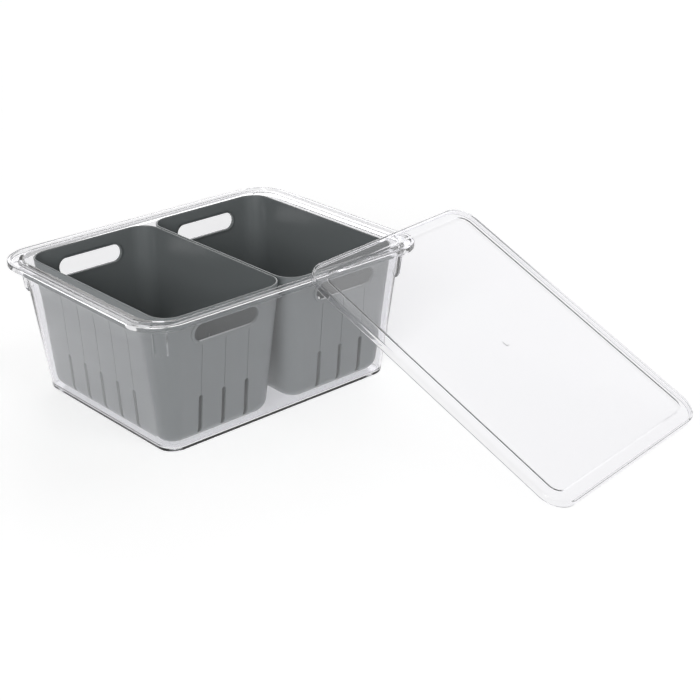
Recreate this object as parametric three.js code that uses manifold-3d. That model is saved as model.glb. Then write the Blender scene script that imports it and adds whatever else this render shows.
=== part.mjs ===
// A fridge bin in four moulded pieces, in millimetres, +Z up.
// A clear outer bin stands on the floor and holds two grey lift-out drain baskets side by
// side along X. The clear lid is off: it leans on the bin's front rim with its far end on
// the floor. The origin is the centre of the bin's flat underside.

import * as THREE from 'three';
import { mergeVertices } from 'three/addons/utils/BufferGeometryUtils.js';
import Module from 'manifold-3d';

const wasm = await Module();
wasm.setup();

// ---------------------------------------------------------------- driving dimensions

const CORNER_STEPS = 7; // straight steps in each quarter turn of a plan corner
const ROUND_STEPS = 4; // straight steps in each rounded edge
const SLOT_END_STEPS = 6; // curve steps in the round ends of a slot
const DISC_STEPS = 24; // straight sides of a small round disc
const OVERSHOOT = 2; // how far a cutting or joining block runs past the wall it meets
const WELD_DISTANCE = 1e-4; // corners nearer than this are one corner

// Outer bin: half sizes in plan, corner radii and heights
const RIM_HALF = [160, 121.5];
const RIM_RADIUS = 36;
const RIM_TOP = 130;
const RIM_UNDERSIDE = 124.8;
const RIM_EDGE_ROUND = 0.8;
const LIP_HALF = [154.4, 115.9]; // inner face of the outer lip, round the lid's groove
const LIP_RADIUS = 24;
const LIP_DRAFT = 0.6; // how far the lip's inner face leans in by the groove's bottom
const GROOVE_BOTTOM = 127.6; // the closed lid's skirt stands here
const EDGE_HALF = [150.4, 112.5]; // outer face of the upstanding edge round the opening
const EDGE_RADIUS = 30;
const EDGE_ROUND = 0.4;
const WALL_TOP_HALF = [146.6, 112.4];
const WALL_TOP_RADIUS = 30;
const WALL_FOOT_HALF = [129.4, 98];
const WALL_FOOT_RADIUS = 16.5;
const BIN_WALL = 2;
const BIN_FLOOR = 2.2;
const BIN_FOOT_ROUND = 2.2;

// Corner ribs outside the bin's wall, just under the rim
const RIB_WIDTH = 12;
const RIB_REACH = 3.6; // stands out from the wall at the rib's lower end
const RIB_FOOT = 97;
const RIB_ROUND = 4;
const RIB_JOIN = 1; // how far the rib runs up into the rim

// Shallow round marks under the floor, one near each corner
const MARK_RADIUS = 5;
const MARK_DEPTH = 0.6;
const MARK_PLACE = [111.5, 81];

// Drain baskets
const BASKET_X = 68.1; // centre of each basket from the bin's centre
const BASKET_TOP_HALF = [67.6, 105.4];
const BASKET_TOP_RADIUS = 20.5;
const BASKET_FOOT_HALF = [57.7, 92.2]; // where the walls would meet height 0
const BASKET_FOOT_RADIUS = 18;
const BASKET_TOP = 128.8;
const BASKET_BOTTOM = BIN_FLOOR + 0.3;
const BASKET_WALL = 1.8;
const BASKET_BOTTOM_ROUND = 13;
const BASKET_EDGE_ROUND = 0.5;

// Finger slot in each long-side wall of a basket, with a raised border outside
const FINGER_SLOT = { length: 69, low: 100, high: 116.6 };
const BORDER = { width: 2.6, rise: 0.8 };

// Drain slots, low on all four walls of a basket
const DRAIN = { width: 4.5, low: 8.5, high: 46.5, pitch: 25.3 };
const DRAINS_ON_END_WALL = 3; // walls that face along Y
const DRAINS_ON_SIDE_WALL = 5; // walls that face along X

// Lid, drawn flat with the middle of its upper face at the origin
const LID_HALF = [153.4, 114.9];
const LID_RADIUS = 22.5;
const LID_SKIRT = 6.5;
const LID_WALL = 2;
const LID_EDGE_ROUND = 1.2;
const PANEL_HALF = [141.4, 102.9];
const PANEL_RADIUS = 12;
const PANEL_STEP = { width: 2.4, drop: 1.5 };
const GATE_MARK = { radius: 3.5, rise: 0.5 };

// How the lid leans: turned about Z, then tipped, with its lower end on the floor
const LID_TURN = THREE.MathUtils.degToRad(-82.8);
const LID_TILT = THREE.MathUtils.degToRad(26.45);
const LID_PLACE = [136.8, -241];

// ---------------------------------------------------------------- materials

const clearPlastic = new THREE.MeshStandardMaterial({
  color: 0xe8ebee, roughness: 0.08, metalness: 0, transparent: true, opacity: 0.3,
});
const greyPlastic = new THREE.MeshStandardMaterial({
  color: 0x7c8081, roughness: 0.45, metalness: 0,
});

// ---------------------------------------------------------------- plan rings and lofts

// One ring of a loft: a rectangle with rounded corners, at one height.
function ring(half, radius, z) {
  return { half, radius, z };
}

// The same ring, smaller all round by `inset`, at a new height.
function inside(source, inset, z = source.z) {
  const half = source.half.map((size) => size - inset);
  return ring(half, Math.max(source.radius - inset, 1), z);
}

// The ring on the straight wall between two rings, at height z.
function between(low, high, z) {
  const share = (z - low.z) / (high.z - low.z);
  const mix = (a, b) => THREE.MathUtils.lerp(a, b, share);
  const half = low.half.map((size, axis) => mix(size, high.half[axis]));
  return ring(half, mix(low.radius, high.radius), z);
}

function ringPoints({ half, radius, z }) {
  const points = [];
  const corners = [[1, 1], [-1, 1], [-1, -1], [1, -1]];
  corners.forEach(([signX, signY], quarter) => {
    for (let step = 0; step <= CORNER_STEPS; step += 1) {
      const angle = (quarter + step / CORNER_STEPS) * (Math.PI / 2);
      const x = signX * (half[0] - radius) + radius * Math.cos(angle);
      const y = signY * (half[1] - radius) + radius * Math.sin(angle);
      points.push(x, y, z);
    }
  });
  return points;
}

// A closed solid through the rings in order, with a flat cap on the first and the last.
// The first ring's cap faces down, so the surface runs up the outside first.
function loft(rings) {
  const count = 4 * (CORNER_STEPS + 1);
  const positions = rings.flatMap(ringPoints);
  const indices = [];
  for (let level = 0; level < rings.length - 1; level += 1) {
    for (let spot = 0; spot < count; spot += 1) {
      const next = (spot + 1) % count;
      const a = level * count + spot;
      const b = level * count + next;
      const c = b + count;
      const d = a + count;
      indices.push(a, b, c, a, c, d);
    }
  }
  const last = (rings.length - 1) * count;
  for (let spot = 1; spot < count - 1; spot += 1) {
    indices.push(0, spot + 1, spot);
    indices.push(last, last + spot, last + spot + 1);
  }
  const geometry = new THREE.BufferGeometry();
  geometry.setAttribute('position', new THREE.Float32BufferAttribute(positions, 3));
  geometry.setIndex(indices);
  return solid(geometry);
}

// Rings that turn from a flat bottom up into the wall, along a quarter circle.
function roundedFoot(wallAt, bottom, radius) {
  const rings = [];
  for (let step = 0; step <= ROUND_STEPS; step += 1) {
    const angle = (step / ROUND_STEPS) * (Math.PI / 2);
    const z = bottom + radius * (1 - Math.cos(angle));
    rings.push(inside(wallAt(z), radius * (1 - Math.sin(angle)), z));
  }
  return rings;
}

// ---------------------------------------------------------------- solids and geometry

function solid(geometry) {
  const plain = geometry.clone();
  plain.deleteAttribute('normal');
  plain.deleteAttribute('uv');
  const merged = mergeVertices(plain, WELD_DISTANCE);
  const vertProperties = new Float32Array(merged.attributes.position.array);
  const triVerts = new Uint32Array(merged.index.array);
  return new wasm.Manifold(new wasm.Mesh({ numProp: 3, vertProperties, triVerts }));
}

function meshOf(name, manifold, material) {
  const { vertProperties, triVerts } = manifold.getMesh();
  const geometry = new THREE.BufferGeometry();
  geometry.setAttribute('position', new THREE.BufferAttribute(vertProperties, 3));
  geometry.setIndex(new THREE.BufferAttribute(triVerts, 1));
  geometry.computeVertexNormals();
  const mesh = new THREE.Mesh(geometry, material);
  mesh.name = name;
  return mesh;
}

// A long slot shape with full round ends, lying across the plane it is drawn in.
function slotShape(length, height) {
  const radius = height / 2;
  const reach = length / 2 - radius;
  const shape = new THREE.Shape();
  shape.moveTo(-reach, -radius);
  shape.lineTo(reach, -radius);
  shape.absarc(reach, 0, radius, -Math.PI / 2, Math.PI / 2, false);
  shape.lineTo(-reach, radius);
  shape.absarc(-reach, 0, radius, Math.PI / 2, (3 * Math.PI) / 2, false);
  return shape;
}

// A straight bar of that shape through the whole basket, along Y or along X.
function slotBar(shape, along, place) {
  const reach = 2 * Math.max(...BASKET_TOP_HALF) + OVERSHOOT;
  const geometry = new THREE.ExtrudeGeometry(shape, {
    depth: reach, bevelEnabled: false, curveSegments: SLOT_END_STEPS,
  });
  geometry.translate(0, 0, -reach / 2);
  geometry.rotateX(Math.PI / 2);
  if (along === 'x') geometry.rotateZ(Math.PI / 2);
  geometry.translate(...place);
  return solid(geometry);
}

// A slot bar whose long direction stands upright.
function uprightBar(shape, along, place) {
  const turned = new THREE.Shape(
    shape.getPoints(SLOT_END_STEPS).map((point) => new THREE.Vector2(-point.y, point.x)),
  );
  return slotBar(turned, along, place);
}

// ---------------------------------------------------------------- outer bin

function outerWallAt(z) {
  const foot = ring(WALL_FOOT_HALF, WALL_FOOT_RADIUS, 0);
  const top = ring(WALL_TOP_HALF, WALL_TOP_RADIUS, RIM_UNDERSIDE);
  return between(foot, top, z);
}

function innerWallAt(z) {
  return inside(outerWallAt(z), BIN_WALL, z);
}

function binShell() {
  const rim = ring(RIM_HALF, RIM_RADIUS, RIM_UNDERSIDE);
  const lip = ring(LIP_HALF, LIP_RADIUS, RIM_TOP);
  const edge = ring(EDGE_HALF, EDGE_RADIUS, RIM_TOP);
  return loft([
    ...roundedFoot(outerWallAt, 0, BIN_FOOT_ROUND),
    outerWallAt(RIM_UNDERSIDE),
    inside(rim, RIM_EDGE_ROUND, RIM_UNDERSIDE),
    inside(rim, 0, RIM_UNDERSIDE + RIM_EDGE_ROUND),
    inside(rim, 0, RIM_TOP - RIM_EDGE_ROUND),
    inside(rim, RIM_EDGE_ROUND, RIM_TOP),
    lip,
    inside(lip, LIP_DRAFT, GROOVE_BOTTOM),
    inside(edge, 0, GROOVE_BOTTOM),
    inside(edge, 0, RIM_TOP - EDGE_ROUND),
    inside(edge, EDGE_ROUND),
    inside(innerWallAt(RIM_TOP), -EDGE_ROUND),
    innerWallAt(RIM_TOP - EDGE_ROUND),
    ...roundedFoot(innerWallAt, BIN_FLOOR, BIN_FOOT_ROUND).reverse(),
  ]);
}

// A rib on the outside of one corner, drawn in the upright plane through the corner.
function cornerRib(signX, signY) {
  const foot = outerWallAt(RIB_FOOT);
  const diagonal = Math.SQRT1_2;
  const reach = (foot.radius + RIB_REACH) * diagonal;
  const tip = new THREE.Vector2(
    foot.half[0] - foot.radius + reach,
    foot.half[1] - foot.radius + reach,
  );
  const depth = RIB_REACH + BIN_WALL / 2;
  const shape = new THREE.Shape();
  shape.moveTo(-depth, RIB_FOOT);
  shape.lineTo(-RIB_ROUND, RIB_FOOT);
  shape.absarc(-RIB_ROUND, RIB_FOOT + RIB_ROUND, RIB_ROUND, -Math.PI / 2, 0, false);
  shape.lineTo(OVERSHOOT, RIM_UNDERSIDE + RIB_JOIN);
  shape.lineTo(OVERSHOOT - depth, RIM_UNDERSIDE + RIB_JOIN);
  const geometry = new THREE.ExtrudeGeometry(shape, {
    depth: RIB_WIDTH, bevelEnabled: false, curveSegments: ROUND_STEPS,
  });
  geometry.translate(0, 0, -RIB_WIDTH / 2);
  geometry.rotateX(Math.PI / 2);
  geometry.rotateZ(Math.atan2(signY, signX));
  geometry.translate(signX * tip.x, signY * tip.y, 0);
  return solid(geometry);
}

function footMark(signX, signY) {
  const geometry = new THREE.CylinderGeometry(MARK_RADIUS, MARK_RADIUS, 2 * MARK_DEPTH, DISC_STEPS);
  geometry.rotateX(Math.PI / 2);
  geometry.translate(signX * MARK_PLACE[0], signY * MARK_PLACE[1], 0);
  return solid(geometry);
}

function outerBin() {
  let bin = binShell();
  for (const signX of [-1, 1]) {
    for (const signY of [-1, 1]) {
      bin = bin.add(cornerRib(signX, signY)).subtract(footMark(signX, signY));
    }
  }
  return meshOf('outer_bin', bin, clearPlastic);
}

// ---------------------------------------------------------------- drain baskets

function basketWallAt(z, growth = 0) {
  const foot = ring(BASKET_FOOT_HALF, BASKET_FOOT_RADIUS, 0);
  const top = ring(BASKET_TOP_HALF, BASKET_TOP_RADIUS, BASKET_TOP);
  return inside(between(foot, top, z), -growth, z);
}

function basketBlock(growth) {
  const wallAt = (z) => basketWallAt(z, growth);
  return loft([
    ...roundedFoot(wallAt, BASKET_BOTTOM - growth, BASKET_BOTTOM_ROUND),
    wallAt(BASKET_TOP - BASKET_EDGE_ROUND),
    inside(wallAt(BASKET_TOP), BASKET_EDGE_ROUND),
  ]);
}

// The room inside a basket, taller than the basket so that it cuts the mouth open.
function basketRoom() {
  const wallAt = (z) => basketWallAt(z, -BASKET_WALL);
  const radius = BASKET_BOTTOM_ROUND - BASKET_WALL;
  return loft([
    ...roundedFoot(wallAt, BASKET_BOTTOM + BASKET_WALL, radius),
    wallAt(BASKET_TOP + OVERSHOOT),
  ]);
}

function drainPlaces(count) {
  return Array.from({ length: count }, (_, index) => (index - (count - 1) / 2) * DRAIN.pitch);
}

function basket() {
  const fingerHeight = FINGER_SLOT.high - FINGER_SLOT.low;
  const fingerPlace = [0, 0, (FINGER_SLOT.high + FINGER_SLOT.low) / 2];
  const finger = slotShape(FINGER_SLOT.length, fingerHeight);
  const border = slotShape(
    FINGER_SLOT.length + 2 * BORDER.width,
    fingerHeight + 2 * BORDER.width,
  );
  const drain = slotShape(DRAIN.high - DRAIN.low, DRAIN.width);
  const drainHeight = (DRAIN.high + DRAIN.low) / 2;

  let piece = basketBlock(0);
  piece = piece.add(basketBlock(BORDER.rise).intersect(slotBar(border, 'y', fingerPlace)));
  piece = piece.subtract(basketRoom());
  piece = piece.subtract(slotBar(finger, 'y', fingerPlace));
  for (const x of drainPlaces(DRAINS_ON_END_WALL)) {
    piece = piece.subtract(uprightBar(drain, 'y', [x, 0, drainHeight]));
  }
  for (const y of drainPlaces(DRAINS_ON_SIDE_WALL)) {
    piece = piece.subtract(uprightBar(drain, 'x', [0, y, drainHeight]));
  }
  return piece;
}

function placedBasket(name, signX) {
  const mesh = meshOf(name, basket(), greyPlastic);
  mesh.position.x = signX * BASKET_X;
  return mesh;
}

// ---------------------------------------------------------------- lid

function lidShell() {
  const edge = ring(LID_HALF, LID_RADIUS, 0);
  const panel = ring(PANEL_HALF, PANEL_RADIUS, 0);
  const floorOfPanel = -PANEL_STEP.drop;
  const underside = -LID_WALL;
  const rounded = Array.from({ length: ROUND_STEPS + 1 }, (_, step) => {
    const angle = (step / ROUND_STEPS) * (Math.PI / 2);
    const inset = LID_EDGE_ROUND * (1 - Math.cos(angle));
    return inside(edge, inset, LID_EDGE_ROUND * (Math.sin(angle) - 1));
  });
  return loft([
    inside(panel, PANEL_STEP.width, floorOfPanel - LID_WALL),
    inside(panel, 0, underside),
    inside(edge, LID_WALL, underside),
    inside(edge, LID_WALL, -LID_SKIRT),
    inside(edge, 0, -LID_SKIRT),
    ...rounded,
    panel,
    inside(panel, PANEL_STEP.width, floorOfPanel),
  ]);
}

function lid() {
  const { radius, rise } = GATE_MARK;
  const gate = new THREE.CylinderGeometry(radius, radius, 2 * rise, DISC_STEPS);
  gate.rotateX(Math.PI / 2);
  gate.translate(0, 0, -PANEL_STEP.drop);
  const mesh = meshOf('lid', lidShell().add(solid(gate)), clearPlastic);

  const lowEndDrop = LID_HALF[0] * Math.sin(LID_TILT) + LID_SKIRT * Math.cos(LID_TILT);
  mesh.rotation.set(0, LID_TILT, LID_TURN, 'ZYX');
  mesh.position.set(LID_PLACE[0], LID_PLACE[1], lowEndDrop);
  return mesh;
}

// ---------------------------------------------------------------- the whole object

const fridgeBin = new THREE.Group();
fridgeBin.add(
  outerBin(),
  placedBasket('left_basket', -1),
  placedBasket('right_basket', 1),
  lid(),
);

export default fridgeBin;
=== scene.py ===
# A clear fridge bin with two grey drain baskets in it and its lid leaning on the rim.
# The object's lengths are in millimetres, and MM turns them into Blender's metres.
# The floor, the lights and their places are in metres.

import math

import bmesh
import bpy
from mathutils import Matrix, Vector


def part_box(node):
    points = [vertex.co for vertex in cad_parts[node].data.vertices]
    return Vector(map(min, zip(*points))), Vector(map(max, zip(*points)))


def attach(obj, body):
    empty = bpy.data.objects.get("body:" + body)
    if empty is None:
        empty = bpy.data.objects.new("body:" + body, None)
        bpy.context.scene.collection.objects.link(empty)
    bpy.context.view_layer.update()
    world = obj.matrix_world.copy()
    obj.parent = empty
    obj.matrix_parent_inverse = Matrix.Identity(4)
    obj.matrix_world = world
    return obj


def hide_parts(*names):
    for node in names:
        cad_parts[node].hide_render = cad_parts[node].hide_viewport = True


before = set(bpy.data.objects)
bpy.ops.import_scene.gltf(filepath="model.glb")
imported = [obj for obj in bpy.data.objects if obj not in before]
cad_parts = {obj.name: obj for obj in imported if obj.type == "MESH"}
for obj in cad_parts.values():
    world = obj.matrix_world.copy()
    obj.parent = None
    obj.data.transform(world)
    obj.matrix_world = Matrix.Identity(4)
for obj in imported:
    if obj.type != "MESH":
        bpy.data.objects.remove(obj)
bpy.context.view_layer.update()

MM = 0.001


# ---------------------------------------------------------------- sizes from the frame

def corners_mm(node):
    """The lowest and highest corner of a CAD node, in millimetres."""
    low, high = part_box(node)
    return Vector(low) / MM, Vector(high) / MM


bin_low, bin_high = corners_mm("outer_bin")
RIM_HALF = (bin_high.x, bin_high.y)
RIM_TOP = bin_high.z

basket_low, basket_high = corners_mm("right_basket")
BASKET_X = (basket_low.x + basket_high.x) / 2
BASKET_BOTTOM = basket_low.z
BASKET_TOP = basket_high.z

# ---------------------------------------------------------------- sizes of the mouldings

CORNER_STEPS = 40  # straight steps in each quarter turn of a plan corner
EDGE_STEPS = 5  # straight steps in each rounded edge
RIB_STEPS = 8  # rings in the rounded foot of the ribs
FOOT_STEPS = 12  # rings in the turn from a basket's floor into its wall
CIRCLE_STEPS = 40
SLOT_END_STEPS = 14  # straight steps in the round end of a slot
BORDER_END_STEPS = 18
EDGE_SHARE = 0.48  # the most of a straight stretch that one rounded edge takes
SMALLEST_RADIUS = 0.5  # of a ring's corners
CAP_INSET = 8  # how far a flat cap's outline lies inside the edge before it

# Outer bin
RIM_RADIUS = 36
RIM_DEPTH = 5.2  # of the band round the outside
RIM_UNDERSIDE = RIM_TOP - RIM_DEPTH
LIP_HALF = (154.4, 115.9)  # inner face of the outer lip, round the lid's groove
LIP_RADIUS = 24
LIP_DRAFT = 0.6
LID_GROOVE_DEPTH = 2.4  # the closed lid's skirt stands in this groove
EDGE_HALF = (150.4, 112.5)  # outer face of the upstanding edge round the opening
EDGE_RADIUS = 30
WALL_TOP_HALF = (146.6, 112.4)
WALL_TOP_RADIUS = 30
WALL_FOOT_HALF = (129.4, 98)
WALL_FOOT_RADIUS = 16.5
BIN_WALL = 2
BIN_FLOOR = 2.2
BIN_FOOT_ROUND = 2.2
BIN_FLOOR_ROUND = 4  # inside, where the floor meets the wall
BIN_CAP_INSET = {"under": 12, "inside": 14}
RIM_ROUND = {"rib": 0.8, "low": 0.9, "high": 1.1, "lip": 0.7, "groove": 0.6, "edge": 0.6}
RIB_WIDTH = 12
RIB_REACH = 3.6
RIB_FOOT = 97
RIB_ROUND = 4
RIB_BLEND = 2  # how far the rib's side runs out into the wall
MARK_RADIUS = 5
MARK_DEPTH = 0.6
MARK_PLACE = (111.5, 81)

# Drain baskets
BASKET_TOP_HALF = (67.6, 105.4)
BASKET_TOP_RADIUS = 20.5
BASKET_FOOT_HALF = (57.7, 92.2)  # where the walls would meet height 0
BASKET_FOOT_RADIUS = 18
BASKET_WALL = 1.8
BASKET_BOTTOM_ROUND = 13
BASKET_EDGE_ROUND = 0.7
FINGER_SLOT = {"length": 69, "low": 100, "high": 116.6}
SLOT_HEIGHT = FINGER_SLOT["high"] - FINGER_SLOT["low"]
SLOT_MIDDLE = (FINGER_SLOT["high"] + FINGER_SLOT["low"]) / 2
BORDER = {"width": 2.8, "rise": 1.4, "round": 0.5}
DRAIN = {"width": 4.5, "low": 8.5, "high": 46.5, "pitch": 25.3}
DRAINS_ON_END_WALL = 3
DRAINS_ON_SIDE_WALL = 5
FINGER_CUT_DEPTH = 15  # reaches through the leaning wall
DRAIN_CUT_DEPTH = 60  # reaches through the wall where its foot turns in
GROOVE = {"width": 0.9, "depth": 0.45, "gap": 1.5, "clear": 2}  # gap: to slot and border
GROOVE_TOP = 121  # on the walls without a finger slot

# Lid, drawn flat with the middle of its upper face at the origin
LID_HALF = (153.4, 114.9)
LID_RADIUS = 22.5
LID_SKIRT = 6.5
LID_WALL = 2
PANEL_HALF = (141.4, 102.9)
PANEL_RADIUS = 12
PANEL_STEP = {"width": 2.4, "drop": 1.5}
LID_ROUND = {"step": 0.8, "inside": 0.9, "skirt": 0.6, "outside": 1.5}
GATE_MARK = {"radius": 3.5, "rise": 0.45}
GATE_PROFILE = ((1.0, 0), (0.92, 0.7), (0.75, 1), (0.35, 0.8))  # (radius, height) shares
SAME_HEIGHT = 1e-6  # metres
LID_TURN = math.radians(-82.8)
LID_TILT = math.radians(26.45)
LID_PLACE = (136.8, -241)


# ---------------------------------------------------------------- rings and lofts
# A ring is a rectangle with rounded corners at one height: (half x, half y, corner
# radius, height, reach of the corner ribs). Rings are mixed as plain vectors.

def ring(half, radius, z, rib=0.0):
    return (half[0], half[1], radius, z, rib)


def inside(source, inset, z=None):
    """The same ring, smaller all round, at a new height."""
    half_x, half_y, radius, height, rib = source
    return (half_x - inset, half_y - inset, max(radius - inset, SMALLEST_RADIUS),
            height if z is None else z, rib)


def mix(a, b, share):
    return tuple(p + (q - p) * share for p, q in zip(a, b))


def section_gap(a, b):
    """How far apart two rings are in the upright section."""
    return math.hypot(a[0] - b[0], a[3] - b[3])


def rounded(stations):
    """Rings through (ring, edge size) stations, with each edge turned into a curve."""
    rings = []
    for index, (here, size) in enumerate(stations):
        if size == 0 or index in (0, len(stations) - 1):
            rings.append(here)
            continue
        before, after = stations[index - 1][0], stations[index + 1][0]
        start = mix(here, before, min(size / section_gap(here, before), EDGE_SHARE))
        end = mix(here, after, min(size / section_gap(here, after), EDGE_SHARE))
        for step in range(EDGE_STEPS + 1):
            share = step / EDGE_STEPS
            rings.append(mix(mix(start, here, share), mix(here, end, share), share))
    return rings


def rib_share(distance):
    """1 in the middle of a corner rib, falling smoothly to 0 beside it."""
    edge = (RIB_WIDTH / 2 + RIB_BLEND / 2 - abs(distance)) / RIB_BLEND
    edge = min(max(edge, 0), 1)
    return edge * edge * (3 - 2 * edge)


def ring_points(source):
    """A ring's corners as (x, y, z), anticlockwise from the +x side."""
    half_x, half_y, radius, z, rib = source
    points = []
    for quarter, (sign_x, sign_y) in enumerate(((1, 1), (-1, 1), (-1, -1), (1, -1))):
        for step in range(CORNER_STEPS + 1):
            turn = step / CORNER_STEPS * math.pi / 2
            reach = radius + rib * rib_share((turn - math.pi / 4) * radius)
            angle = quarter * math.pi / 2 + turn
            points.append((sign_x * (half_x - radius) + reach * math.cos(angle),
                           sign_y * (half_y - radius) + reach * math.sin(angle), z))
    return points


def bridge(shell, first, second):
    """Adds the faces between two closed loops of vertices."""
    count = len(first)
    for spot in range(count):
        after = (spot + 1) % count
        shell.faces.new((first[spot], first[after], second[after], second[spot]))


def cap_ends(shell, first, last):
    """Adds the flat faces on the two ends of a row of loops."""
    shell.faces.new(reversed(first))
    shell.faces.new(last)


def loft(rings):
    """A closed bmesh through the rings, with a flat cap on the first and the last."""
    shell = bmesh.new()
    levels = [[shell.verts.new(Vector(point) * MM) for point in ring_points(r)]
              for r in rings]
    for low, high in zip(levels, levels[1:]):
        bridge(shell, low, high)
    cap_ends(shell, levels[0], levels[-1])
    return shell


# ---------------------------------------------------------------- meshes and objects

def mesh_from(shell, name):
    bmesh.ops.recalc_face_normals(shell, faces=shell.faces)
    mesh = bpy.data.meshes.new(name)
    shell.to_mesh(mesh)
    shell.free()
    return mesh


def object_from(shell, name):
    thing = bpy.data.objects.new(name, mesh_from(shell, name))
    bpy.context.collection.objects.link(thing)
    return thing


def apply_modifiers(thing):
    graph = bpy.context.evaluated_depsgraph_get()
    mesh = bpy.data.meshes.new_from_object(thing.evaluated_get(graph))
    thing.modifiers.clear()
    thing.data = mesh


def cut(thing, cutter):
    """Takes the cutter out of the thing, and removes the cutter."""
    tool = thing.modifiers.new("cut", "BOOLEAN")
    tool.operation = "DIFFERENCE"
    tool.solver = "EXACT"
    tool.object = cutter
    apply_modifiers(thing)
    bpy.data.objects.remove(cutter)


def smooth(thing, sharp_above=35):
    thing.data.shade_smooth()
    thing.data.set_sharp_from_angle(angle=math.radians(sharp_above))


def prism(shell, outline, place, depth):
    """Adds a prism to a bmesh: an outline of (across, up) points, pushed along place(...)."""
    front = [shell.verts.new(Vector(place(u, v, -depth / 2)) * MM) for u, v in outline]
    back = [shell.verts.new(Vector(place(u, v, depth / 2)) * MM) for u, v in outline]
    bridge(shell, front, back)
    cap_ends(shell, front, back)


def slot_outline(length, height, steps=SLOT_END_STEPS):
    """A long slot with full round ends, round the origin."""
    radius = height / 2
    reach = length / 2 - radius
    points = []
    for centre, start in ((reach, -math.pi / 2), (-reach, math.pi / 2)):
        for step in range(steps + 1):
            angle = start + math.pi * step / steps
            points.append((centre + radius * math.cos(angle), radius * math.sin(angle)))
    return points


# ---------------------------------------------------------------- outer bin

def outer_wall(z, rib=0.0):
    """The ring of the bin's leaning outer wall at a height."""
    share = z / RIM_UNDERSIDE
    foot = ring(WALL_FOOT_HALF, WALL_FOOT_RADIUS, 0)
    top = ring(WALL_TOP_HALF, WALL_TOP_RADIUS, RIM_UNDERSIDE)
    return mix(foot, top, share)[:4] + (rib,)


def rib_rings():
    """The outer wall from the ribs' rounded feet up to the rim."""
    rings = [(outer_wall(RIB_FOOT), 0)]
    for step in range(1, RIB_STEPS + 1):
        rise = step / RIB_STEPS
        reach = RIB_REACH * math.sqrt(1 - (1 - rise) ** 2)
        rings.append((outer_wall(RIB_FOOT + RIB_ROUND * rise, reach), 0))
    rings.append((outer_wall(RIM_UNDERSIDE, RIB_REACH), RIM_ROUND["rib"]))
    return rings


def mark_cutters():
    """Shallow discs under the four corners of the floor."""
    marks = bmesh.new()
    circle = [(MARK_RADIUS * math.cos(a), MARK_RADIUS * math.sin(a))
              for a in (2 * math.pi * step / CIRCLE_STEPS for step in range(CIRCLE_STEPS))]
    for sign_x in (-1, 1):
        for sign_y in (-1, 1):
            def place(u, v, w, sign_x=sign_x, sign_y=sign_y):
                return (sign_x * MARK_PLACE[0] + u, sign_y * MARK_PLACE[1] + v, w)
            prism(marks, circle, place, 2 * MARK_DEPTH)
    return marks


def build_bin():
    groove_bottom = RIM_TOP - LID_GROOVE_DEPTH
    rim = ring(RIM_HALF, RIM_RADIUS, RIM_UNDERSIDE)
    lip = ring(LIP_HALF, LIP_RADIUS, RIM_TOP)
    edge = ring(EDGE_HALF, EDGE_RADIUS, RIM_TOP)
    inner_foot = inside(outer_wall(BIN_FLOOR), BIN_WALL)
    rings = rounded([
        (inside(outer_wall(0), BIN_CAP_INSET["under"]), 0),
        (outer_wall(0), BIN_FOOT_ROUND),
        *rib_rings(),
        (rim, RIM_ROUND["low"]),
        (inside(rim, 0, RIM_TOP), RIM_ROUND["high"]),
        (lip, RIM_ROUND["lip"]),
        (inside(lip, LIP_DRAFT, groove_bottom), RIM_ROUND["groove"]),
        (inside(edge, 0, groove_bottom), RIM_ROUND["groove"]),
        (edge, RIM_ROUND["edge"]),
        (inside(outer_wall(RIM_TOP), BIN_WALL), RIM_ROUND["edge"]),
        (inner_foot, BIN_FLOOR_ROUND),
        (inside(inner_foot, BIN_CAP_INSET["inside"]), 0),
    ])
    thing = object_from(loft(rings), "clear_bin")
    cut(thing, object_from(mark_cutters(), "marks"))
    smooth(thing)
    return thing


# ---------------------------------------------------------------- drain baskets

def basket_wall(z, inset=0.0):
    """The ring of a basket's leaning wall at a height, on its outside or further in."""
    foot = ring(BASKET_FOOT_HALF, BASKET_FOOT_RADIUS, 0)
    top = ring(BASKET_TOP_HALF, BASKET_TOP_RADIUS, BASKET_TOP)
    return inside(mix(foot, top, z / BASKET_TOP), inset, z)


def basket_foot(bottom, inset, radius):
    """Rings that turn from the flat bottom up into the wall."""
    rings = []
    for step in range(FOOT_STEPS + 1):
        angle = step / FOOT_STEPS * math.pi / 2
        z = bottom + radius * (1 - math.cos(angle))
        rings.append((inside(basket_wall(z, inset), radius * (1 - math.sin(angle))), 0))
    return rings


def drain_places(count):
    """How far each drain slot of a wall lies from the wall's middle."""
    return [(index - (count - 1) / 2) * DRAIN["pitch"] for index in range(count)]


def wall_place(along, offset, height, outward):
    """Where (across, up, through) lies for a slot in a wall that faces along x or y."""
    if along == "y":
        return lambda u, v, w: (offset + u, outward + w, height + v)
    return lambda u, v, w: (outward + w, offset + u, height + v)


def wall_reach(along, z):
    """How far out the wall that faces along x or y stands at a height."""
    wall = basket_wall(z)
    return wall[1] if along == "y" else wall[0]


def basket_cutters():
    """A finger slot in each end wall, and the drain slots in all four walls."""
    cutters = bmesh.new()
    upright = [(v, u) for u, v in slot_outline(DRAIN["high"] - DRAIN["low"], DRAIN["width"])]
    middle = (DRAIN["high"] + DRAIN["low"]) / 2
    hidden = BORDER["width"] / 2  # the hole's own edge lies inside the border
    finger = slot_outline(FINGER_SLOT["length"] + 2 * hidden, SLOT_HEIGHT + 2 * hidden)
    for side in (-1, 1):
        outward = side * wall_reach("y", SLOT_MIDDLE)
        prism(cutters, finger, wall_place("y", 0, SLOT_MIDDLE, outward), FINGER_CUT_DEPTH)
        for along, count in (("y", DRAINS_ON_END_WALL), ("x", DRAINS_ON_SIDE_WALL)):
            for offset in drain_places(count):
                place = wall_place(along, offset, middle, side * wall_reach(along, middle))
                prism(cutters, upright, place, DRAIN_CUT_DEPTH)
    return cutters


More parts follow.
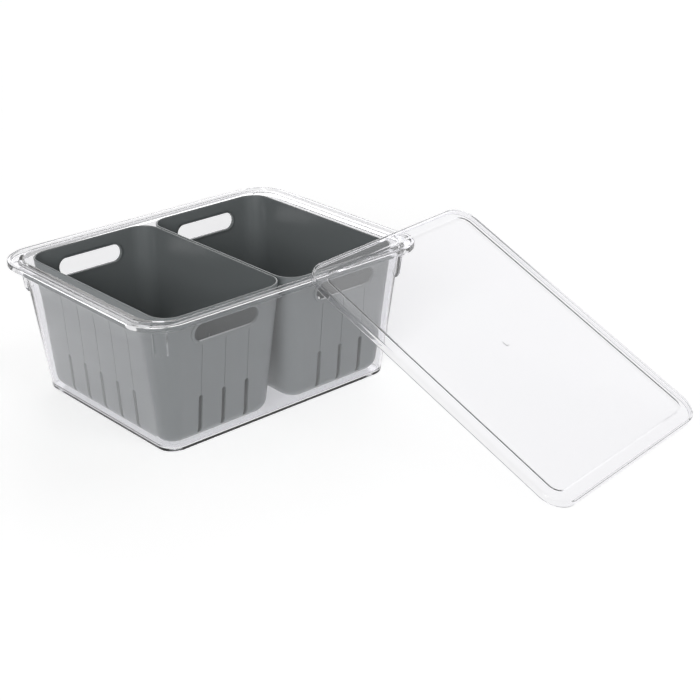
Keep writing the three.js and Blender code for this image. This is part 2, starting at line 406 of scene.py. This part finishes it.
def groove_loop(cutters, along, side, offset, corners, level):
    """One face of a groove's cutter, at a level out of the leaning wall."""
    loop = []
    for z, u in corners:
        place = wall_place(along, offset, z, side * (wall_reach(along, z) + level))
        loop.append(cutters.verts.new(Vector(place(u, 0, 0)) * MM))
    return loop


def groove_cutters():
    """Fine upright lines in the outside of the walls, above each drain slot."""
    cutters = bmesh.new()
    half = GROOVE["width"] / 2
    bottom = DRAIN["high"] + GROOVE["gap"]
    under_border = FINGER_SLOT["low"] - BORDER["width"] - GROOVE["gap"]
    for along, count, top in (
        ("y", DRAINS_ON_END_WALL, under_border), ("x", DRAINS_ON_SIDE_WALL, GROOVE_TOP),
    ):
        corners = ((bottom, -half), (bottom, half), (top, half), (top, -half))
        for side in (-1, 1):
            for offset in drain_places(count):
                inner, outer = (
                    groove_loop(cutters, along, side, offset, corners, level)
                    for level in (-GROOVE["depth"], GROOVE["clear"])
                )
                bridge(cutters, inner, outer)
                cap_ends(cutters, inner, outer)
    return cutters


def slot_border(side):
    """The raised lip round a finger slot: a rounded section swept round the slot."""
    outward = wall_reach("y", SLOT_MIDDLE)
    lean = wall_reach("y", FINGER_SLOT["high"]) - wall_reach("y", FINGER_SLOT["low"])
    lean /= SLOT_HEIGHT
    width, rise, fillet = BORDER["width"], BORDER["rise"], BORDER["round"]
    section = []  # (away from the slot, out of the wall)
    low, high = -BASKET_WALL, rise
    for centre, start in (
        ((width - fillet, high - fillet), 0), ((fillet, high - fillet), 90),
        ((fillet, low + fillet), 180), ((width - fillet, low + fillet), 270),
    ):
        for step in range(EDGE_STEPS + 1):
            angle = math.radians(start + 90 * step / EDGE_STEPS)
            section.append((centre[0] + fillet * math.cos(angle),
                            centre[1] + fillet * math.sin(angle)))
    border = bmesh.new()
    loops = []
    for away, out in section:
        path = slot_outline(FINGER_SLOT["length"] + 2 * away, SLOT_HEIGHT + 2 * away,
                            BORDER_END_STEPS)
        loops.append([border.verts.new(
            Vector((u, side * (outward + lean * v + out), SLOT_MIDDLE + v)) * MM)
            for u, v in path])
    for loop, following in zip(loops, loops[1:] + loops[:1]):
        bridge(border, loop, following)
    return border


def basket_mesh():
    """One basket in the middle of the frame, with its slots, grooves and borders."""
    floor_top = BASKET_BOTTOM + BASKET_WALL
    cap_inset = BASKET_BOTTOM_ROUND + CAP_INSET
    rings = rounded([
        (inside(basket_wall(BASKET_BOTTOM), cap_inset), 0),
        *basket_foot(BASKET_BOTTOM, 0, BASKET_BOTTOM_ROUND),
        (basket_wall(BASKET_TOP), BASKET_EDGE_ROUND),
        (basket_wall(BASKET_TOP, BASKET_WALL), BASKET_EDGE_ROUND),
        *reversed(basket_foot(floor_top, BASKET_WALL, BASKET_BOTTOM_ROUND - BASKET_WALL)),
        (inside(basket_wall(floor_top), cap_inset), 0),
    ])
    thing = object_from(loft(rings), "basket")
    cut(thing, object_from(basket_cutters(), "slots"))
    cut(thing, object_from(groove_cutters(), "grooves"))

    whole = bmesh.new()
    whole.from_mesh(thing.data)
    bpy.data.objects.remove(thing)
    for side in (-1, 1):
        whole.from_mesh(mesh_from(slot_border(side), "border"))
    mesh = bpy.data.meshes.new("basket")
    whole.to_mesh(mesh)
    whole.free()
    return mesh


def build_basket(mesh, name, sign_x):
    thing = bpy.data.objects.new(name, mesh.copy())
    bpy.context.collection.objects.link(thing)
    thing.data.transform(Matrix.Translation((sign_x * BASKET_X * MM, 0, 0)))
    smooth(thing)
    return thing


# ---------------------------------------------------------------- lid

def build_lid():
    edge = ring(LID_HALF, LID_RADIUS, 0)
    panel = ring(PANEL_HALF, PANEL_RADIUS, 0)
    width, drop = PANEL_STEP["width"], PANEL_STEP["drop"]
    rings = rounded([
        (inside(panel, width + CAP_INSET, -drop - LID_WALL), 0),
        (inside(panel, width, -drop - LID_WALL), LID_ROUND["step"]),
        (inside(panel, 0, -LID_WALL), LID_ROUND["step"]),
        (inside(edge, LID_WALL, -LID_WALL), LID_ROUND["inside"]),
        (inside(edge, LID_WALL, -LID_SKIRT), LID_ROUND["skirt"]),
        (inside(edge, 0, -LID_SKIRT), LID_ROUND["skirt"]),
        (edge, LID_ROUND["outside"]),
        (panel, LID_ROUND["step"]),
        (inside(panel, width, -drop), LID_ROUND["step"]),
        (inside(panel, width + CAP_INSET, -drop), 0),
    ])
    lid = loft(rings)
    add_gate_mark(lid, -drop * MM)
    low_end = LID_HALF[0] * math.sin(LID_TILT) + LID_SKIRT * math.cos(LID_TILT)
    place = Matrix.Translation(Vector((*LID_PLACE, low_end)) * MM)
    lean = Matrix.Rotation(LID_TURN, 4, "Z") @ Matrix.Rotation(LID_TILT, 4, "Y")
    bmesh.ops.transform(lid, matrix=place @ lean, verts=lid.verts)
    thing = object_from(lid, "clear_lid")
    smooth(thing)
    return thing


def add_gate_mark(lid, z):
    """A low dome in the middle of the panel's face, where the plastic was injected."""
    face = next(f for f in lid.faces
                if len(f.verts) > 4 and abs(f.calc_center_median().z - z) < SAME_HEIGHT)
    radius, rise = GATE_MARK["radius"] * MM, GATE_MARK["rise"] * MM
    outer = list(face.verts)
    lid.faces.remove(face)
    loops = [outer]
    for share, height in GATE_PROFILE:
        loops.append([lid.verts.new((radius * share * math.cos(a), radius * share * math.sin(a),
                                     z + rise * height))
                      for a in (math.atan2(v.co.y, v.co.x) for v in outer)])
    for loop, following in zip(loops, loops[1:]):
        bridge(lid, loop, following)
    lid.faces.new(loops[-1])


# ---------------------------------------------------------------- materials

CLEAR = {
    "ior": 1.49, "edge_blend": 0.35, "face_tint": (0.91, 0.91, 0.915),
    "edge_tint": (0.87, 0.86, 0.92), "window_tint": (0.93, 0.93, 0.935),
    "gloss_noise": 35, "roughness": (0.0, 0.01), "bump_noise": 14, "bump_mm": 0.12,
}
GREY = {
    "ior": 1.5, "tint_noise": 9, "dark_tint": (0.192, 0.208, 0.212),
    "pale_tint": (0.21, 0.228, 0.232), "gloss_noise": 30, "roughness": (0.22, 0.28),
    "bump_noise": 45, "bump_mm": 0.006,
}
FLOOR = {"tint": (0.9, 0.9, 0.9), "roughness": 0.9, "specular": 0.1}
FLOOR_GLOW = 0.6  # lifts the pale floor towards white

def new_material(name):
    """A node material, with its nodes, its link function and its shader."""
    material = bpy.data.materials.new(name)
    material.use_nodes = True
    nodes = material.node_tree.nodes
    return material, nodes, material.node_tree.links.new, nodes["Principled BSDF"]


def add_noise(nodes, link, scale, detail=2.0):
    """A noise texture in the object's own coordinates, so that it moves with the piece."""
    coordinates = nodes.new("ShaderNodeTexCoord")
    noise = nodes.new("ShaderNodeTexNoise")
    noise.inputs["Scale"].default_value = scale
    noise.inputs["Detail"].default_value = detail
    link(coordinates.outputs["Object"], noise.inputs["Vector"])
    return noise.outputs["Fac"]


def add_range(nodes, link, source, low, high):
    spread = nodes.new("ShaderNodeMapRange")
    spread.inputs["To Min"].default_value = low
    spread.inputs["To Max"].default_value = high
    link(source, spread.inputs["Value"])
    return spread.outputs["Result"]


def add_bump(nodes, link, source, height_mm, shader):
    bump = nodes.new("ShaderNodeBump")
    bump.inputs["Strength"].default_value = 1
    bump.inputs["Distance"].default_value = height_mm * MM
    link(source, bump.inputs["Height"])
    link(bump.outputs["Normal"], shader.inputs["Normal"])


def add_tint(nodes, link, factor, first, second):
    blend = nodes.new("ShaderNodeMix")
    blend.data_type = "RGBA"
    blend.inputs["A"].default_value = (*first, 1)
    blend.inputs["B"].default_value = (*second, 1)
    link(factor, blend.inputs["Factor"])
    return blend.outputs["Result"]


def clear_plastic():
    material, nodes, link, shader = new_material("clear_plastic")
    shader.inputs["IOR"].default_value = CLEAR["ior"]
    shader.inputs["Transmission Weight"].default_value = 1
    facing = nodes.new("ShaderNodeLayerWeight")
    facing.inputs["Blend"].default_value = CLEAR["edge_blend"]
    tint = add_tint(nodes, link, facing.outputs["Facing"],
                    CLEAR["face_tint"], CLEAR["edge_tint"])
    link(tint, shader.inputs["Base Color"])
    gloss = add_noise(nodes, link, CLEAR["gloss_noise"])
    link(add_range(nodes, link, gloss, *CLEAR["roughness"]), shader.inputs["Roughness"])
    ripple = add_noise(nodes, link, CLEAR["bump_noise"], 1.0)
    add_bump(nodes, link, ripple, CLEAR["bump_mm"], shader)

    # Light reaches what is inside the bin instead of being stopped by its wall.
    rays = nodes.new("ShaderNodeLightPath")
    either = nodes.new("ShaderNodeMath")
    either.operation = "MAXIMUM"
    link(rays.outputs["Is Shadow Ray"], either.inputs[0])
    link(rays.outputs["Is Diffuse Ray"], either.inputs[1])
    window = nodes.new("ShaderNodeBsdfTransparent")
    window.inputs["Color"].default_value = (*CLEAR["window_tint"], 1)
    blend = nodes.new("ShaderNodeMixShader")
    link(either.outputs["Value"], blend.inputs["Fac"])
    link(shader.outputs["BSDF"], blend.inputs[1])
    link(window.outputs["BSDF"], blend.inputs[2])
    link(blend.outputs["Shader"], nodes["Material Output"].inputs["Surface"])
    return material


def grey_plastic():
    material, nodes, link, shader = new_material("grey_plastic")
    shader.inputs["IOR"].default_value = GREY["ior"]
    cloud = add_noise(nodes, link, GREY["tint_noise"], 3.0)
    tint = add_tint(nodes, link, cloud, GREY["dark_tint"], GREY["pale_tint"])
    link(tint, shader.inputs["Base Color"])
    gloss = add_noise(nodes, link, GREY["gloss_noise"], 1.0)
    link(add_range(nodes, link, gloss, *GREY["roughness"]), shader.inputs["Roughness"])
    grain = add_noise(nodes, link, GREY["bump_noise"], 1.0)
    add_bump(nodes, link, grain, GREY["bump_mm"], shader)
    return material


def floor_material():
    material, _, _, shader = new_material("pale_floor")
    shader.inputs["Base Color"].default_value = (*FLOOR["tint"], 1)
    shader.inputs["Roughness"].default_value = FLOOR["roughness"]
    shader.inputs["Specular IOR Level"].default_value = FLOOR["specular"]
    shader.inputs["Emission Color"].default_value = (1, 1, 1, 1)
    shader.inputs["Emission Strength"].default_value = FLOOR_GLOW
    return material


def dress(thing, material, body, node):
    """Gives a piece its material, hides the CAD node it stands for and hangs the piece on the
    body it rides on.
    """
    thing.data.materials.clear()
    thing.data.materials.append(material)
    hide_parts(node)
    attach(thing, body)


# ---------------------------------------------------------------- the object

clear, grey = clear_plastic(), grey_plastic()
dress(build_bin(), clear, "outer_bin", "outer_bin")
dress(build_lid(), clear, "lid", "lid")
one_basket = basket_mesh()
for side, sign_x in (("left", -1), ("right", 1)):
    basket = build_basket(one_basket, f"grey_{side}_basket", sign_x)
    dress(basket, grey, f"{side}_basket", f"{side}_basket")

# ---------------------------------------------------------------- stage, light and camera

FLOOR_SIZE = 12
FLOOR_GAP = 0.0002  # keeps the floor just under the faces that rest on it

floor_shell = bmesh.new()
bmesh.ops.create_grid(floor_shell, x_segments=1, y_segments=1, size=FLOOR_SIZE / 2)
floor = object_from(floor_shell, "floor")
floor.location.z = -FLOOR_GAP
floor.data.materials.append(floor_material())

WORLD_HORIZON = 0.95
WORLD_OVERHEAD = 0.6
WORLD_FADE = (0.04, 0.5)  # heights between which the one turns into the other
WORLD_DIFFUSE = 0.25  # share of the world's light that reaches matt surfaces


def studio_world():
    """A white world, brighter at the horizon, that lights matt surfaces less."""
    world = bpy.data.worlds.new("studio")
    world.use_nodes = True
    bpy.context.scene.world = world
    nodes, link = world.node_tree.nodes, world.node_tree.links.new
    coordinates = nodes.new("ShaderNodeTexCoord")
    split = nodes.new("ShaderNodeSeparateXYZ")
    link(coordinates.outputs["Generated"], split.inputs["Vector"])
    ramp = nodes.new("ShaderNodeMapRange")
    ramp.inputs["From Min"].default_value = WORLD_FADE[0]
    ramp.inputs["From Max"].default_value = WORLD_FADE[1]
    ramp.inputs["To Min"].default_value = WORLD_HORIZON
    ramp.inputs["To Max"].default_value = WORLD_OVERHEAD
    link(split.outputs["Z"], ramp.inputs["Value"])
    rays = nodes.new("ShaderNodeLightPath")
    matt = add_range(nodes, link, rays.outputs["Is Diffuse Ray"], 1, WORLD_DIFFUSE)
    strength = nodes.new("ShaderNodeMath")
    strength.operation = "MULTIPLY"
    link(ramp.outputs["Result"], strength.inputs[0])
    link(matt, strength.inputs[1])
    link(strength.outputs["Value"], nodes["Background"].inputs["Strength"])
    nodes["Background"].inputs["Color"].default_value = (1, 1, 1, 1)


studio_world()

LIGHT_AIM = (0.05, -0.1, 0.06)


def softbox(name, place, size, power):
    """A square area light that looks at the middle of the object."""
    light = bpy.data.lights.new(name, "AREA")
    light.size = size
    light.energy = power
    lamp = bpy.data.objects.new(name, light)
    bpy.context.collection.objects.link(lamp)
    lamp.location = place
    aim = Vector(LIGHT_AIM) - lamp.location
    lamp.rotation_euler = aim.to_track_quat("-Z", "Y").to_euler()


softbox("key_light", (-3.6, -2.3, 1.9), 1.8, 72)
softbox("front_light", (0.8, -3.4, 4.2), 1.8, 24)  # reaches the walls at the back
softbox("lid_light", (3.3, 0.5, 3.3), 3.0, 18)  # shows as a pale veil in the leaning lid
softbox("rim_light", (2.8, 3.0, 1.9), 2.2, 24)  # shows in the rim's level faces

VIEW_AZIMUTH = math.radians(-42.49)
VIEW_ELEVATION = math.radians(24.25)
VIEW_DISTANCE = 1439.3
VIEW_ASIDE = (125.4, 25.6)  # how far the view is shifted right and up from the origin
LENS = 77.5
SENSOR_WIDTH = 36
VIEW_END = 30  # metres

camera = bpy.data.objects.new("camera", bpy.data.cameras.new("camera"))
bpy.context.collection.objects.link(camera)
bpy.context.scene.camera = camera
camera.rotation_euler = (math.pi / 2 - VIEW_ELEVATION, 0, VIEW_AZIMUTH)
turned = camera.rotation_euler.to_matrix()
camera.location = turned @ Vector((*VIEW_ASIDE, VIEW_DISTANCE)) * MM
camera.data.lens = LENS
camera.data.sensor_width = SENSOR_WIDTH
camera.data.clip_end = VIEW_END

bpy.context.scene.view_settings.view_transform = "Standard"
